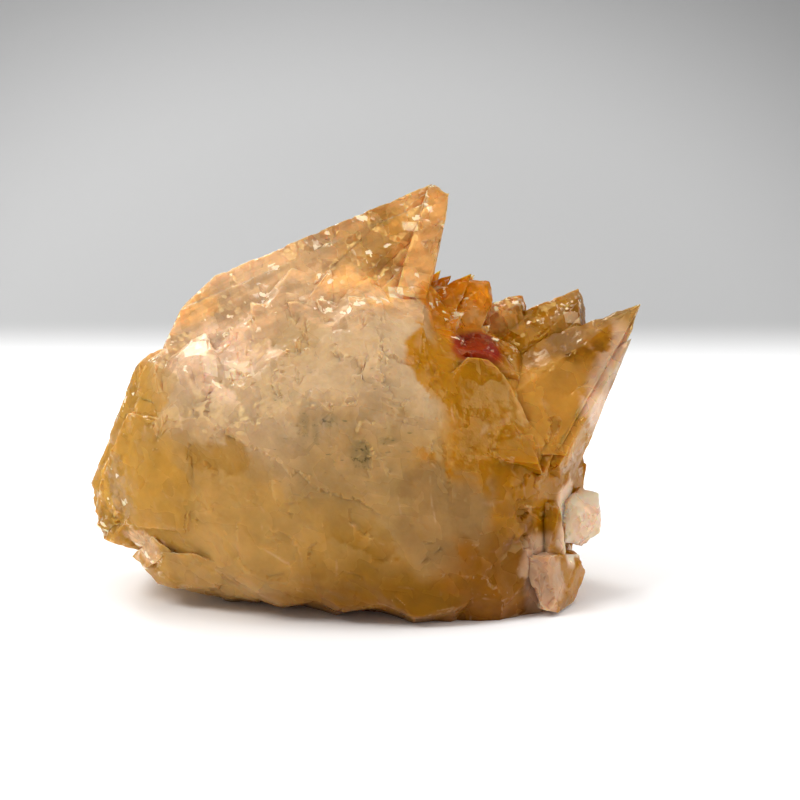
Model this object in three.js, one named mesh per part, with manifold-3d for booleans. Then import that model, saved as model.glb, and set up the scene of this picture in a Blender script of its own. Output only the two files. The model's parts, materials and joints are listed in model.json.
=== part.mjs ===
// A golden dog-tooth calcite specimen: one big doubly pointed crystal, smaller teeth of the same lean
// grown through its right flank, and the massive calcite that holds them, broken off flat underneath.
// Millimetres, +Z up, +X to the right and +Y to the back. The specimen is one grown-together solid.
import * as THREE from "three";
import { ConvexGeometry } from "three/addons/geometries/ConvexGeometry.js";
import { MeshSurfaceSampler } from "three/addons/math/MeshSurfaceSampler.js";
import { mergeVertices } from "three/addons/utils/BufferGeometryUtils.js";
import Module from "manifold-3d";

const wasm = await Module();
wasm.setup();

// ---- Calcite's own proportions ------------------------------------------------------------------
// The dog-tooth form {21-31}: its points stand this many girdle radii from the middle, and the six
// corners of its girdle zigzag up and down by a ninth of that.
const POINT_PER_RADIUS = 2.22;
const ZIGZAG_PER_RADIUS = POINT_PER_RADIUS / 9;
// Calcite splits along three planes. The edges of the block that it splits into fall this much for
// each unit outward.
const CLEAVAGE_SLOPE = 0.493;

// ---- Lean shared by the whole cluster -----------------------------------------------------------
const RISE = 48.5; // degrees of the crystal axis above horizontal, leaning to the right
const SPIN = 75; // degrees of a sharp edge round that axis

const X = 0;
const Y = 1;
const Z = 2;
const UP = new THREE.Vector3(0, 0, 1);
const radians = THREE.MathUtils.degToRad;
const vector = (place) => new THREE.Vector3(...place);

// The turn from a crystal that stands upright to one that leans.
function turnOf({ rise = RISE, swing = 0, spin = SPIN }) {
  const lean = new THREE.Euler(0, radians(90 - rise), radians(swing), "ZYX");
  const about = new THREE.Quaternion().setFromAxisAngle(UP, radians(spin));
  return new THREE.Quaternion().setFromEuler(lean).multiply(about);
}

// The same unevenness on every build: numbers from 0 to 1 in an order that the seed sets.
function unevenness(seed) {
  let state = seed;
  return () => {
    state = (state * 1664525 + 1013904223) % 4294967296;
    return state / 4294967296;
  };
}

// ---- Solids -------------------------------------------------------------------------------------
const NEAREST = 0.002; // corners closer than this are one corner

function solidOf(geometry) {
  const loose = geometry.index ? geometry.toNonIndexed() : geometry;
  const bare = new THREE.BufferGeometry().setAttribute("position", loose.getAttribute("position"));
  const merged = mergeVertices(bare, 1e-4);
  return new wasm.Manifold(
    new wasm.Mesh({
      numProp: 3,
      vertProperties: new Float32Array(merged.attributes.position.array),
      triVerts: new Uint32Array(merged.index.array),
    }),
  );
}

// A solid's surface, without the faces that close up once its nearest corners are merged.
function geometryOf(solid) {
  const { vertProperties, triVerts } = solid.getMesh();
  const raw = new THREE.BufferGeometry()
    .setAttribute("position", new THREE.BufferAttribute(vertProperties, 3))
    .setIndex(new THREE.BufferAttribute(triVerts, 1));
  const welded = mergeVertices(raw, NEAREST);
  const corners = welded.index.array;
  const faces = [];
  for (let k = 0; k < corners.length; k += 3) {
    const [a, b, c] = [corners[k], corners[k + 1], corners[k + 2]];
    if (a !== b && b !== c && c !== a) faces.push(a, b, c);
  }
  return welded.setIndex(faces);
}

const hull = (points) => solidOf(new ConvexGeometry(points));
const lump = (corners) => hull(corners.map(vector));
const joined = (solids) => solids.reduce((whole, next) => whole.add(next));

// One dog-tooth crystal, hung from its upper point.
function tooth({ tip, radius, ...lean }) {
  const point = POINT_PER_RADIUS * radius;
  const zigzag = ZIGZAG_PER_RADIUS * radius;
  const corners = Array.from({ length: 6 }, (_, k) => {
    const about = (k * Math.PI) / 3;
    const side = k % 2 ? -zigzag : zigzag;
    return new THREE.Vector3(radius * Math.cos(about), radius * Math.sin(about), side - point);
  });
  const outline = [new THREE.Vector3(0, 0, 0), ...corners, new THREE.Vector3(0, 0, -2 * point)];
  const turn = turnOf(lean);
  return hull(outline.map((p) => p.applyQuaternion(turn).add(vector(tip))));
}

// The three half edges of a cleavage block, the skewed box that calcite splits into.
function halfEdges({ size, ...lean }) {
  const turn = turnOf(lean);
  return size.map((length, k) => {
    const about = (k * 2 * Math.PI) / 3;
    const edge = new THREE.Vector3(Math.cos(about), Math.sin(about), -CLEAVAGE_SLOPE);
    return edge.setLength(length / 2).applyQuaternion(turn);
  });
}

// A cleavage block about its middle.
function cleavageBlock({ middle, ...shape }) {
  const [a, b, c] = halfEdges(shape);
  const signs = [-1, 1];
  const corner = (i, j, k) => {
    return vector(middle).addScaledVector(a, i).addScaledVector(b, j).addScaledVector(c, k);
  };
  return hull(signs.flatMap((i) => signs.flatMap((j) => signs.map((k) => corner(i, j, k)))));
}

// Everything on the outer side of a plane, which the normal points to.
const FAR = 400;
function beyond({ through, facing }) {
  const box = new THREE.BoxGeometry(FAR, FAR, FAR).translate(0, 0, FAR / 2);
  const turn = new THREE.Quaternion().setFromUnitVectors(UP, vector(facing).normalize());
  return solidOf(box.applyQuaternion(turn).translate(...through));
}
const cut = (solid, planes) => planes.reduce((left, plane) => left.subtract(beyond(plane)), solid);

// ---- Broken surfaces ----------------------------------------------------------------------------
// Places spread over a solid's surface, each with the direction that faces out of it there.
function placesOn(solid, random) {
  const mesh = new THREE.Mesh(geometryOf(solid).toNonIndexed(), new THREE.MeshBasicMaterial());
  mesh.geometry.computeVertexNormals();
  const sampler = new MeshSurfaceSampler(mesh).setRandomGenerator(random).build();
  return () => {
    const place = new THREE.Vector3();
    const outward = new THREE.Vector3();
    sampler.sample(place, outward);
    return { place, outward };
  };
}

// A lump with flat flakes knocked off it all round. The depth is in millimetres and the tilt is a
// share of the normal.
function flaked({ from, flakes, depth, tilt, seed }) {
  const random = unevenness(seed);
  const next = placesOn(from, random);
  const planes = Array.from({ length: flakes }, () => {
    const { place, outward } = next();
    const through = place.addScaledVector(outward, -depth * (0.3 + 0.7 * random()));
    const sideways = new THREE.Vector3(random() - 0.5, random() - 0.5, random() - 0.5);
    return { through: through.toArray(), facing: outward.addScaledVector(sideways, tilt).toArray() };
  });
  return cut(from, planes);
}

// Cleavage blocks that stand a little proud of a solid's surface, turned nearly one way as splitting
// leaves them. Sizes and heights are in millimetres from the least to the most, and the turn is in
// degrees either way.
function splitBlocks({ on, count, size, proud, turn, seed, where }) {
  const random = unevenness(seed);
  const between = ([low, high]) => low + (high - low) * random();
  const next = placesOn(on, random);
  const blocks = [];
  while (blocks.length < count) {
    const { place, outward } = next();
    if (!where(place, outward)) continue;
    const length = between(size);
    const shape = {
      size: [0, 0, 0].map(() => length * between([0.65, 1.35])),
      rise: RISE + between([-turn, turn]),
      swing: between([-turn, turn]),
      spin: SPIN + between([-turn, turn]),
    };
    const reach = halfEdges(shape).reduce((sum, edge) => sum + Math.abs(edge.dot(outward)), 0);
    const middle = place.clone().addScaledVector(outward, between(proud) - reach);
    blocks.push(cleavageBlock({ middle: middle.toArray(), ...shape }));
  }
  return blocks;
}

// A lump whose front follows outlines at rising levels, and whose back is flat. Its surface is a net
// of facets. Their corners move by up to the roughness along the surface, and by up to the proudness
// out of it, in millimetres.
function leveled({ levels, across, up, back, rough, proud, seed }) {
  const random = unevenness(seed);
  const within = (limit) => limit * (2 * random() - 1);
  const wander = () => new THREE.Vector3(within(rough), within(proud), within(rough));
  const outlines = levels.map(({ x, y, z }) => {
    const points = x.map((side, k) => new THREE.Vector3(side, y[k], z));
    return new THREE.CatmullRomCurve3(points, false, "centripetal");
  });
  const columns = Array.from({ length: across + 1 }, (_, k) => {
    const climb = outlines.map((outline) => outline.getPoint(k / across));
    return new THREE.CatmullRomCurve3(climb, false, "centripetal").getPoints(up);
  });
  const skin = columns.map((column) => column.map((p) => p.add(wander())));
  const ends = [skin[across], skin[0]].map((column) => column.map((p) => new THREE.Vector3(p.x, back, p.z)));
  const loop = [...skin, ...ends];
  const middles = [0, up].map((row) => {
    return loop.reduce((sum, column) => sum.add(column[row]), new THREE.Vector3()).divideScalar(loop.length);
  });
  const corners = [...loop.flat(), ...middles];
  const bottom = corners.length - 2;
  const top = corners.length - 1;
  const faces = [];
  loop.forEach((_, k) => {
    const here = k * (up + 1);
    const next = ((k + 1) % loop.length) * (up + 1);
    for (let row = 0; row < up; row += 1) {
      faces.push(here + row, next + row, next + row + 1, here + row, next + row + 1, here + row + 1);
    }
    faces.push(next, here, bottom, here + up, next + up, top);
  });
  const geometry = new THREE.BufferGeometry().setFromPoints(corners).setIndex(faces);
  return solidOf(geometry);
}

// ---- The big tooth, doubly pointed, with the parallel teeth that step its faces -----------------
const brokenEnd = [
  { through: [-59.6, 0, 20], facing: [-0.93, 0, -0.37] },
  { through: [-50, -12, 12.2], facing: [-0.32, -0.1, -0.94] },
];
const wornShoulder = [
  { through: [-40.2, 0, 64.3], facing: [-0.69, 0, 0.72] },
  { through: [-42.6, 0, 59.4], facing: [-0.9, 0, 0.43] },
];
// The band of narrow faces down the right of the point, which closes the gaps between its parallel
// teeth.
const pointBand = lump([
  [13.6, 4, 90.4],
  [14.8, 5, 90.6],
  [17.7, 2.7, 88.6],
  [17.3, 0.8, 84.6],
  [16.2, -0.9, 80],
  [13.4, -3, 77],
  [14.6, -2.6, 72],
  [12.6, -6.4, 66.5],
  [6.4, -8.8, 68],
  [8.6, -5.6, 76],
  [15.8, 8, 82],
  [14, 9, 68],
  [4, 4, 72],
]);
const bigTooth = cut(
  joined([
    pointBand,
    tooth({ tip: [14.4, 5, 90.7], radius: 29.5 }),
    tooth({ tip: [17.9, 2.5, 88.8], radius: 15 }),
    tooth({ tip: [16.6, -0.5, 83.2], radius: 15, spin: 71 }),
    tooth({ tip: [17, 5.5, 82], radius: 12, spin: 78 }),
    tooth({ tip: [12.8, -3, 78.5], radius: 13, rise: 52 }),
    tooth({ tip: [14.4, 1.5, 76], radius: 12, rise: 53, spin: 70 }),
    tooth({ tip: [1.5, 0, 81.6], radius: 24, spin: 74 }),
    tooth({ tip: [8, 11.5, 80], radius: 20, spin: 77 }),
  ]),
  [...wornShoulder, ...brokenEnd],
);
const lowerTooth = cut(
  joined([
    tooth({ tip: [7.5, 5, 75.2], radius: 28, rise: 47 }),
    tooth({ tip: [4.5, 5, 70], radius: 24, rise: 47, spin: 78 }),
  ]),
  [{ through: [-46.8, 0, 55], facing: [-0.72, 0, 0.69] }, ...brokenEnd],
);
// ---- The right-hand spire and the shoulder behind it --------------------------------------------
const spireFlank = lump([
  [59, -0.4, 63.4],
  [57.9, -2.6, 59.6],
  [53, -1, 51],
  [52.6, -4.4, 49],
  [48.8, -1, 41.6],
  [57, 2, 59],
  [50, 2, 47],
  [48, 0, 57],
  [44, 0, 44],
  [47, -3.4, 50],
]);
const spire = joined([
  spireFlank,
  tooth({ tip: [59.9, 0, 64.8], radius: 17.5, rise: 46.5, spin: 52 }),
  tooth({ tip: [57.6, -3.2, 57.5], radius: 15, rise: 46.5, spin: 52 }),
  tooth({ tip: [58.6, 2.2, 59.5], radius: 14, rise: 46.5, spin: 54 }),
  tooth({ tip: [50, -8, 50.5], radius: 13, rise: 48, spin: 50 }),
]);
const shoulder = cut(
  joined([
    tooth({ tip: [52.5, 8, 69.4], radius: 16, rise: 48.5, spin: 66 }),
    tooth({ tip: [49, 4.5, 62.5], radius: 13, rise: 48.5, spin: 64 }),
  ]),
  [{ through: [46.9, 8, 66.4], facing: [0.95, -0.25, 0.2] }],
);

// ---- Small teeth in the valley between, some of them split across the point ---------------------
const valleyTeeth = joined(
  [
    { tip: [18.6, 3, 70.8], radius: 14 },
    { tip: [22.9, 2, 71.2], radius: 14 },
    { tip: [16.4, 13, 70.8], radius: 8 },
    { tip: [24, 15, 69.4], radius: 11 },
    { tip: [39, 14, 62.6], radius: 10 },
    { tip: [20.6, -4, 63], radius: 12 },
    { tip: [27.4, 0, 60.6], radius: 11 },
    { tip: [16.2, -11, 59], radius: 11 },
  ].map(({ tip, radius }, k) =>
    tooth({ tip, radius, rise: 46 + 3 * (k % 3), swing: 7 * ((k % 3) - 1), spin: 58 + 8 * (k % 4) }),
  ),
);
const splitTeeth = joined([
  cut(tooth({ tip: [31, 5, 73], radius: 15, rise: 48, spin: 70 }), [
    { through: [27.3, 5, 66], facing: [0.97, -0.12, 0.2] },
    { through: [24.6, 5, 69], facing: [0.17, -0.1, 0.98] },
  ]),
  cut(tooth({ tip: [38.5, 9, 68], radius: 14, rise: 48, spin: 62 }), [
    { through: [34.7, 9, 63.6], facing: [0.95, -0.2, 0.24] },
    { through: [33, 9, 65.2], facing: [0.05, -0.2, 0.98] },
  ]),
]);

// ---- Teeth on the back --------------------------------------------------------------------------
const backTeeth = joined([
  tooth({ tip: [30, 31, 54], radius: 13, swing: 24 }),
  tooth({ tip: [27, 27, 45], radius: 12, rise: 42, swing: 27 }),
  tooth({ tip: [6, 32, 64], radius: 13, rise: 58, swing: 38 }),
  tooth({ tip: [9, 31.5, 56], radius: 11, rise: 54, swing: 36 }),
  tooth({ tip: [-18, 31, 62], radius: 13, rise: 62, swing: 70 }),
  tooth({ tip: [48, 19, 49], radius: 11, rise: 40, swing: 20 }),
  tooth({ tip: [52, 13, 36], radius: 10, rise: 28, swing: 18 }),
  tooth({ tip: [-42, 21, 46], radius: 11, rise: 60, swing: 120 }),
]);

// ---- The massive calcite ------------------------------------------------------------------------
// The whole front from the left end to the right foot, level by level from under the resting face
// upward. Each level lists the outline's x and y from left to right.
const frontLevels = [
  {
    z: -4,
    x: [-30, -25, -18, -9, 0, 10, 20, 28, 34, 40, 44],
    y: [2, 1, -1, -4, -9.5, -16.5, -23, -23, -20, -14, -5],
  },
  {
    z: 4,
    x: [-33, -27, -19, -10, 0, 11, 20, 28, 34, 40, 46],
    y: [-17, -21, -25, -28, -30, -31.5, -31, -27.5, -24, -17, -4],
  },
  {
    z: 12,
    x: [-46, -39, -31, -20, -9, 2, 12, 21, 29, 38, 46.5],
    y: [-14, -20.5, -25.5, -30.5, -33.5, -35, -34, -31, -26, -18, -3],
  },
  {
    z: 20,
    x: [-59.6, -48, -36, -22, -9, 3, 14, 22, 30, 39, 47.5],
    y: [-8, -18, -25.5, -31.5, -34.5, -35.5, -33.5, -29.5, -24.5, -17.5, -2],
  },
  {
    z: 28,
    x: [-57.5, -47, -36, -22, -9, 3, 14, 22, 30, 39, 48.4],
    y: [-9.5, -19.5, -26.5, -32, -34.6, -35.4, -32.5, -28, -23.5, -17, -1],
  },
  {
    z: 36,
    x: [-53.8, -45, -35, -22, -10, 1, 11, 19, 27, 37, 48],
    y: [-12.5, -20.5, -26.8, -32, -34.6, -34.8, -31.8, -28, -24, -16.5, 1],
  },
  {
    z: 42,
    x: [-51, -44, -35, -23, -11, 0, 9, 16, 25, 34, 44],
    y: [-13.5, -20.5, -25.5, -31, -33.6, -33.6, -31, -27.5, -21, -12, 2],
  },
  {
    z: 48,
    x: [-47, -41, -32, -21, -10, -1, 7, 14, 22, 29, 38],
    y: [-12, -18, -23.5, -29, -32.4, -32, -29, -24.5, -17, -11, 0],
  },
  {
    z: 54,
    x: [-39, -34, -27, -18, -9, -1, 6, 13, 18, 25, 32],
    y: [-9, -15, -19.5, -24.5, -27.5, -28, -26.5, -22.5, -16, -11, -2],
  },
  {
    z: 60,
    x: [-36, -32, -26, -18, -9, -1, 5, 11.5, 14, 18, 22],
    y: [-6, -10, -14, -18, -20.5, -21.5, -21, -18, -12, -6, 0],
  },
  {
    z: 66,
    x: [-35, -30, -24, -17, -9, -2, 3, 8, 11, 13, 15],
    y: [-2, -4.5, -8, -10.5, -12, -12.5, -12, -10, -7, -4, 0],
  },
  {
    z: 72,
    x: [-26, -23, -19, -14, -9, -5, -1, 2, 4, 6, 8],
    y: [0, -2, -3.5, -4.5, -5, -5, -5, -4.5, -3, -2, 0],
  },
];
const frontMass = leveled({
  levels: frontLevels,
  across: 14,
  up: 11,
  back: 12,
  rough: 1.7,
  proud: 0.6,
  seed: 5,
});

const archedFace = lump([
  [14.5, -23, 46],
  [17.5, -19, 52.5],
  [21.5, -15.5, 55.4],
  [26.2, -14, 54.8],
  [29.5, -13, 51.5],
  [30.5, -18.5, 39.8],
  [22.3, -25.5, 38.8],
  [27.6, -23.5, 25.4],
  [34, -19, 25],
  [35.5, -15, 40],
  [31, -10, 46],
  [16, -27, 38],
  [22, 2, 44],
  [30, 4, 30],
  [15, 0, 28],
]);
// What fills in behind the arched face, beside the front mass and down to the foot.
const behindArch = lump([
  [16.5, -14, 53],
  [21.5, -12.5, 56],
  [26, -11, 55.6],
  [30, -10, 52.4],
  [33, -8, 50],
  [22, -4, 58],
  [28.5, -3, 57],
  [14, -8, 58],
  [16, -6, 38],
  [32, -4, 38],
]);
const arch = joined([behindArch, flaked({ from: archedFace, flakes: 25, depth: 0.5, tilt: 0.25, seed: 9 })]);

const rightEnd = lump([
  [48.6, 0, 34],
  [48.2, -2, 22],
  [46.5, -3.5, 8],
  [45, -5, -1],
  [49, 5, 26],
  [48.4, 6, 12],
  [46.6, 13, 29],
  [45.5, 16, 14],
  [44, 10, -4],
  [40, 22, -4],
  [43, 20, 30],
  [28, 28, 32],
  [20, 28, -4],
  [38, 2, 38],
  [12, 28, 42],
  [24, 4, 44],
  [12, 10, -4],
]);
const wholeBack = lump([
  [-50, 8, 15],
  [-44, 14, 5],
  [-36, 26, 18],
  [-20, 33, 34],
  [5, 34, 38],
  [26, 31, 34],
  [42, 20, 28],
  [45, 14, 4],
  [22, 31, 3],
  [-14, 32, 3],
  [-30, 23, -4],
  [-36, 2, -4],
  [29, 25, -4],
  [42, 0, -4],
  [0, 10, 60],
]);
const backMass = joined([
  flaked({ from: wholeBack, flakes: 70, depth: 0.8, tilt: 0.3, seed: 13 }),
  flaked({ from: rightEnd, flakes: 30, depth: 0.7, tilt: 0.3, seed: 19 }),
]);

const mass = joined([frontMass, arch, backMass, lowerTooth]);

// ---- Pale blocks at the lower right and bright ledges at the left -------------------------------
const paleBlocks = joined([
  lump([
    [33.1, -22, 13.3],
    [38.9, -23, 13.6],
    [46.4, -10, 10.8],
    [47.6, -8, 6.3],
    [45.1, -12, 0.7],
    [41, -21, 0.7],
    [37, -24, 2.9],
    [36, 0, 0],
    [36, 0, 12],
  ]),
  lump([
    [43.6, -12, 22.7],
    [46.8, -6, 25],
    [50.9, -5, 23.4],
    [51.5, -6, 17.1],
    [51.1, -6, 14.6],
    [47.2, -6, 11.7],
    [42.7, -14, 14.3],
    [46, -12, 20],
    [50, -9, 19],
    [38, 0, 21],
    [38, 0, 14],
  ]),
  lump([
    [38, -17, 24],
    [41.5, -18, 23],
    [43, -15, 12],
    [38.5, -19, 12],
    [40, -8, 25],
    [40, -8, 10],
  ]),
]);
// The left end hangs over a split block and a lobe that reaches down to the broken face.
const leftEnd = lump([
  [-59.6, -8, 21],
  [-58.8, -10, 17.5],
  [-55.8, -11, 15.2],
  [-54.2, -11, 13.7],
  [-50.5, -12.5, 14.6],
  [-48, -17.5, 20],
  [-57, -10.5, 27],
  [-46, -14, 17],
  [-52, 8, 16],
  [-46, 8, 14],
]);
const leftFace = lump([
  [-59.6, -8, 21],
  [-58, -10, 28],
  [-54.4, -13, 36],
  [-51.2, -14.5, 43],
  [-44, -21.2, 43],
  [-37, -25.4, 41],
  [-37, -26.6, 29],
  [-38, -25.6, 19],
  [-48.5, -20.5, 27],
  [-49, -18.6, 19],
  [-52, 0, 24],
  [-46, -4, 44],
  [-34, -10, 20],
  [-34, -10, 40],
]);
const splitBlock = lump([
  [-51, -12.5, 11],
  [-46, -19, 17],
  [-41.5, -21.5, 14.5],
  [-48, -16, 9.2],
  [-46, -6, 13],
  [-40, -12, 10],
]);
const lobe = lump([
  [-45.6, -14, 5.4],
  [-42, -16.5, 5.2],
  [-38, -18.5, 6],
  [-32, -22, 6.6],
  [-48.4, -12, 8],
  [-47, -15, 10],
  [-43.5, -20.5, 14],
  [-36, -24.6, 15],
  [-30, -26.5, 12],
  [-42, -3, 6],
  [-30, -8, 0],
]);
const ledge = lump([
  [-40.4, -16, 55],
  [-37.2, -20, 54.1],
  [-33.2, -18, 57.5],
  [-34.2, -11, 59.8],
  [-37.2, -11, 58.5],
  [-47.9, -7, 52.8],
  [-42.3, -2, 57.6],
  [-50, -11.5, 46.5],
  [-44, -19, 45.5],
  [-35, -23.5, 46.5],
  [-29, -20.5, 51],
  [-36, 0, 50],
  [-44, 0, 46],
]);
const leftBlocks = joined([leftEnd, leftFace, splitBlock, lobe, ledge]);

// ---- Small steps where the surface split --------------------------------------------------------
const roughTop = splitBlocks({
  on: frontMass,
  count: 16,
  size: [5, 9],
  proud: [0.7, 1.6],
  turn: 16,
  seed: 17,
  where: (place, outward) => place.z > 50 && place.z < 68 && place.y < -6 && outward.y < 0.1,
});
const rightSteps = splitBlocks({
  on: frontMass,
  count: 4,
  size: [6, 10],
  proud: [1, 1.8],
  turn: 12,
  seed: 37,
  where: (place, outward) => place.z > 8 && place.z < 42 && place.x > 20 && outward.y < -0.2,
});
const backSteps = splitBlocks({
  on: backMass,
  count: 45,
  size: [6, 15],
  proud: [0.5, 2],
  turn: 10,
  seed: 53,
  where: (place, outward) => place.z > 6 && outward.z > -0.4 && place.y > 4,
});

// ---- The whole specimen, cut off flat where it broke from the rock ------------------------------
const ground = { through: [0, 0, 0], facing: [0, 0, -1] };
const crystals = [bigTooth, spire, shoulder, valleyTeeth, splitTeeth, backTeeth];
const steps = [...roughTop, ...rightSteps, ...backSteps];
const whole = cut(joined([...crystals, mass, paleBlocks, leftBlocks, ...steps]), [ground]);

// The origin is under the middle of the specimen, on the face that it rests on.
function centred(solid) {
  const { min, max } = solid.boundingBox();
  return solid.translate([-(min[X] + max[X]) / 2, -(min[Y] + max[Y]) / 2, -min[Z]]);
}

const goldenCalcite = new THREE.MeshStandardMaterial({ color: 0xc8954e, roughness: 0.3, metalness: 0 });
const cluster = new THREE.Mesh(geometryOf(centred(whole)), goldenCalcite);
cluster.name = "calcite_cluster";

const specimen = new THREE.Group();
specimen.add(cluster);
export default specimen;
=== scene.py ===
"""A golden calcite specimen: intergrown dog-tooth crystals on a broken, milky mass, on a pale sweep."""

import json
import math

import bpy
import numpy as np
from bpy.props import FloatProperty, FloatVectorProperty, IntProperty, PointerProperty
from mathutils import Euler, Matrix, Vector

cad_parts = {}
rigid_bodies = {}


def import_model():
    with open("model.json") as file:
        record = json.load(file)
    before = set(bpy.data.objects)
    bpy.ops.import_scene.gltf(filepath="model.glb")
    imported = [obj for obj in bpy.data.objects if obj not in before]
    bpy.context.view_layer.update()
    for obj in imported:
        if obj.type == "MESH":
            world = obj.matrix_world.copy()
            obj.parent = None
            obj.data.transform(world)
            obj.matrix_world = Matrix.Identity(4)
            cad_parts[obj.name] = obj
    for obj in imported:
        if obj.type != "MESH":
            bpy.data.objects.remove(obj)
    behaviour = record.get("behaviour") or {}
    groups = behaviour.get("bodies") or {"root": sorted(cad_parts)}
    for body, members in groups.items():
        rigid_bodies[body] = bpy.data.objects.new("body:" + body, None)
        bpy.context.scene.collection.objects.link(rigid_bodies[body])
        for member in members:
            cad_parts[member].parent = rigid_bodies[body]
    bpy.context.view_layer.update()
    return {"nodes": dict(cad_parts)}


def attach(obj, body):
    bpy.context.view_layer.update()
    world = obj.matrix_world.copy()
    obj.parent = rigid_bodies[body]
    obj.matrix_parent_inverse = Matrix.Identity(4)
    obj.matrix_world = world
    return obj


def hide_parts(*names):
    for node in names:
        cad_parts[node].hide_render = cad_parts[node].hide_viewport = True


bl_info = {
    "name": "Golden Calcite Specimen",
    "version": (1, 0, 0),
    "blender": (4, 5, 0),
    "location": "3D View > Sidebar > Calcite",
    "description": "Grows one golden calcite cluster round its packed solid, in a pale studio",
    "category": "Add Mesh",
}

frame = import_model()
CAD_NODE = "calcite_cluster"
PIECE = "golden_calcite_cluster"
MM = 0.001

# The lean of the crystals' axis, their turn about it, and how far a cleavage block's edges fall for
# each unit outward. Together they give the three planes that the whole cluster splits along.
AXIS_RISE = math.radians(48.5)
AXIS_SPIN = math.radians(75)
CLEAVAGE_SLOPE = 0.493
# The direction that the big tooth's upper edge runs in, and its streaks with it.
EDGE_RUN = (0.87, 0.18, 0.46)
# Corners closer than this are one corner, faces that meet at less than this are one face, and what
# lies no higher than this is on the flat cut underneath.
SAME_PLACE = 0.002 * MM
SAME_FACE = math.radians(0.6)
ON_THE_CUT = 0.1 * MM
# Widths in mm of the blocks that the calcite splits into: those that one broad colour fills, the
# flakes, the chips and the slivers.
COLOUR_BLOCK = 13
FLAKE = 4.5
CHIP = 1.3
SLIVER = 0.75
# How far apart in mm the inner cracks are, along the first and the second cleavage direction.
CRACK_GAPS = (6, 7)
# Edges that turn by more than the first angle are worn, and those past the second show as ridges and
# grooves.
WORN_OVER = math.radians(25)
SHARP_OVER = math.radians(22)
# The height in mm over the resting face at which the relief starts, and where it is full.
RELIEF_STARTS = 0.2
RELIEF_FULL = 2.5
# The middle of a random colour: taken off it, it leaves a random direction.
MID_COLOUR = (0.5, 0.5, 0.5)


def cleavage_normals():
    """The directions that face straight out of the three cleavage planes."""
    lean = Euler((0, math.pi / 2 - AXIS_RISE, 0)).to_matrix() @ Matrix.Rotation(AXIS_SPIN, 3, "Z")
    turns = [math.radians(120 * k) for k in range(3)]
    edges = [lean @ Vector((math.cos(turn), math.sin(turn), -CLEAVAGE_SLOPE)) for turn in turns]
    return [edges[k - 2].cross(edges[k - 1]).normalized() for k in range(3)]


def screen(red, green, blue):
    """A colour as seen on a screen, 0 to 255, as the linear numbers that Blender's colours hold."""
    return tuple(((c / 255 + 0.055) / 1.055) ** 2.4 for c in (red, green, blue))


def colour(name, description, default):
    return FloatVectorProperty(
        name=name, description=description, subtype="COLOR", size=3, min=0, max=1, default=default
    )


def length(name, description, default):
    return FloatProperty(name=name, description=description, unit="LENGTH", min=0, default=default)


def share(name, description, default):
    return FloatProperty(
        name=name, description=description, subtype="FACTOR", min=0, max=1, default=default
    )


class CalciteSizes(bpy.types.PropertyGroup):
    """How finely the cluster is meshed and how rough its broken faces are."""

    longest_edge: length("Longest Edge", "Edges of the finished mesh are shorter than this", 1.12 * MM)
    base_edge: length("Longest Base Edge", "The same for the flat cut underneath", 7 * MM)
    big_facet: length("Big Facet", "Width of the larger cleavage facets on broken faces", 9 * MM)
    small_facet: length("Small Facet", "Width of the smaller cleavage facets on broken faces", 3.4 * MM)
    facet_slope: share("Facet Slope", "How steeply the facets tilt from the face they are on", 0.07)
    step: length("Step", "How much the larger facets stand above each other", 0.4 * MM)
    edge_wear: length("Edge Wear", "How deep the sharp edges are nicked", 0.35 * MM)
    softening: IntProperty(
        name="Softening", description="How many times the broken front is evened out", min=0, default=10
    )
    smooth_under: FloatProperty(
        name="Smooth Under",
        description="Faces that meet at less than this angle are shaded as one",
        subtype="ANGLE",
        default=math.radians(28),
    )


class CalciteColours(bpy.types.PropertyGroup):
    """The cluster's colours, from the white of its frosted edges and painted highlights to its deepest
    amber, with some painted light and shade.
    """

    # Painted highlight white for the glints and lit facets, and frost on the worn edges.
    frost_and_highlight: colour("Frost", "Freshly split facets that catch the light", screen(252, 232, 200))
    pearl: colour("Pearl", "Colourless, frosted calcite", screen(255, 216, 186))
    blush: colour("Blush", "Palest warm calcite of the upper left", screen(201, 161, 120))
    peach: colour("Peach", "Warm calcite of the big tooth", screen(238, 178, 108))
    cream: colour("Cream", "Milky calcite of the broken front", screen(188, 156, 118))
    mist: colour("Mist", "Duller milky calcite round the pit", screen(166, 130, 80))
    veil: colour("Veil", "Thin milky layer over brown calcite", screen(156, 118, 70))
    straw: colour("Straw", "Pale yellow calcite of the left face", screen(184, 136, 58))
    sand: colour("Sand", "Dull golden calcite of the lower left", screen(178, 135, 72))
    ochre: colour("Ochre", "Golden calcite of the lower front", screen(154, 108, 30))
    # The foot's olive and brown are partly dark golden calcite, partly painted shade that darkens the
    # bottom.
    olive_and_foot_shade: colour("Olive", "Dark golden calcite of the foot", screen(132, 84, 2))
    brown: colour("Brown", "Brown amber at the right of the foot", screen(130, 76, 0))
    gold: colour("Gold", "Clear golden calcite of the right side", screen(172, 112, 0))
    honey: colour("Honey", "Paler golden calcite of the spire", screen(202, 144, 58))
    amber: colour("Amber", "Clear amber of the valley crystals", screen(228, 140, 8))
    # Deep red in the recess between the crystals: partly the calcite's deep colour, partly painted shade.
    red_and_recess_shade: colour("Rust", "Iron-stained recess between the crystals", screen(146, 26, 0))
    grime: colour("Grime", "Grey-green dirt in the pits", screen(104, 98, 66))
    speck: colour("Speck", "Dark specks", screen(52, 40, 18))


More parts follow.
